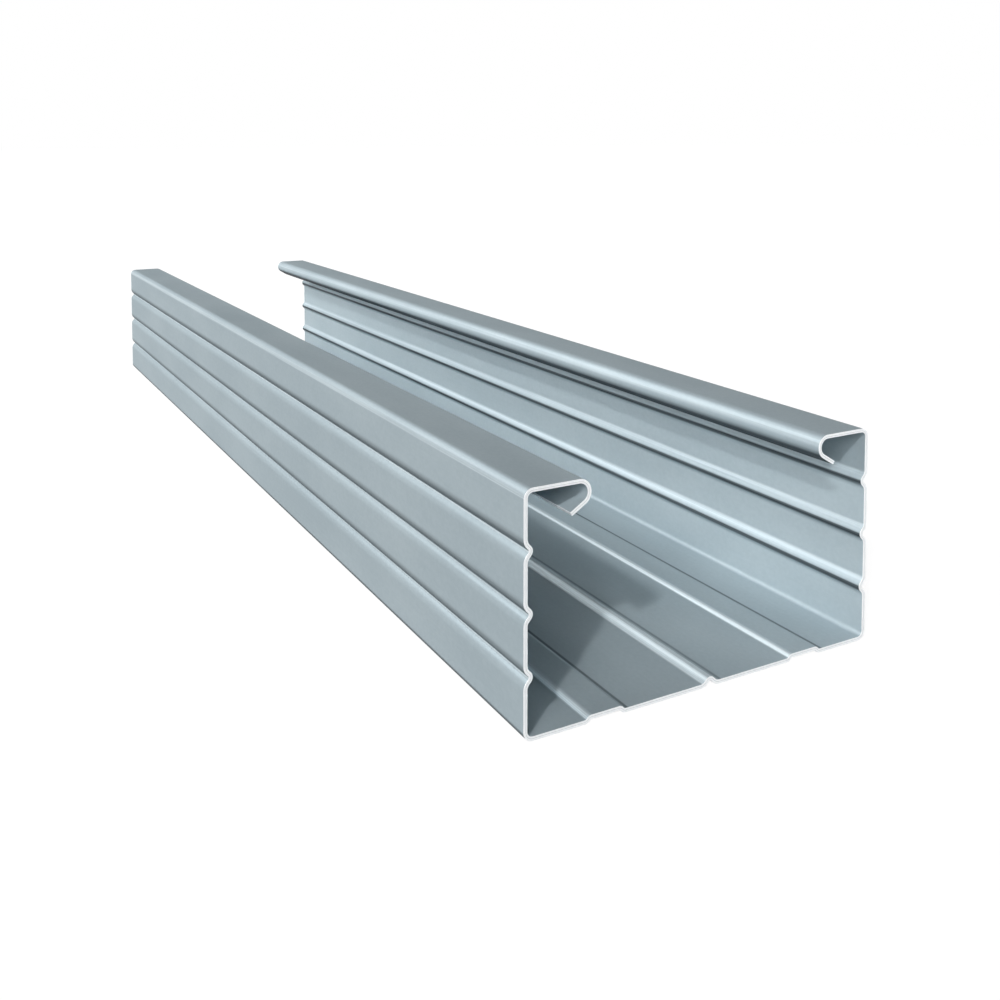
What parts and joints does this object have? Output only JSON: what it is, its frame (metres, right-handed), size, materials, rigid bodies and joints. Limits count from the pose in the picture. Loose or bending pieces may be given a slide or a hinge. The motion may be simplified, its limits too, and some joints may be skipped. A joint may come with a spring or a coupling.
{
  "type": "steel stud",
  "caption": "Length of roll-formed galvanised C stud with grooved flanges, a beaded web and lips curled back inside, for framing a partition wall.",
  "frame": {"origin": "middle of the web's underside, halfway along the stud", "axes": "+X across the web, +Y along the stud, +Z from the web up to the lips"},
  "size_m": [0.092, 0.396, 0.05],
  "materials": {
    "galvanised_sheet": "smooth hot-dip galvanised, cool blue-grey, half matt"
  },
  "bodies": {
    "root": {"stud": "galvanised_sheet"}
  },
  "joints": []
}
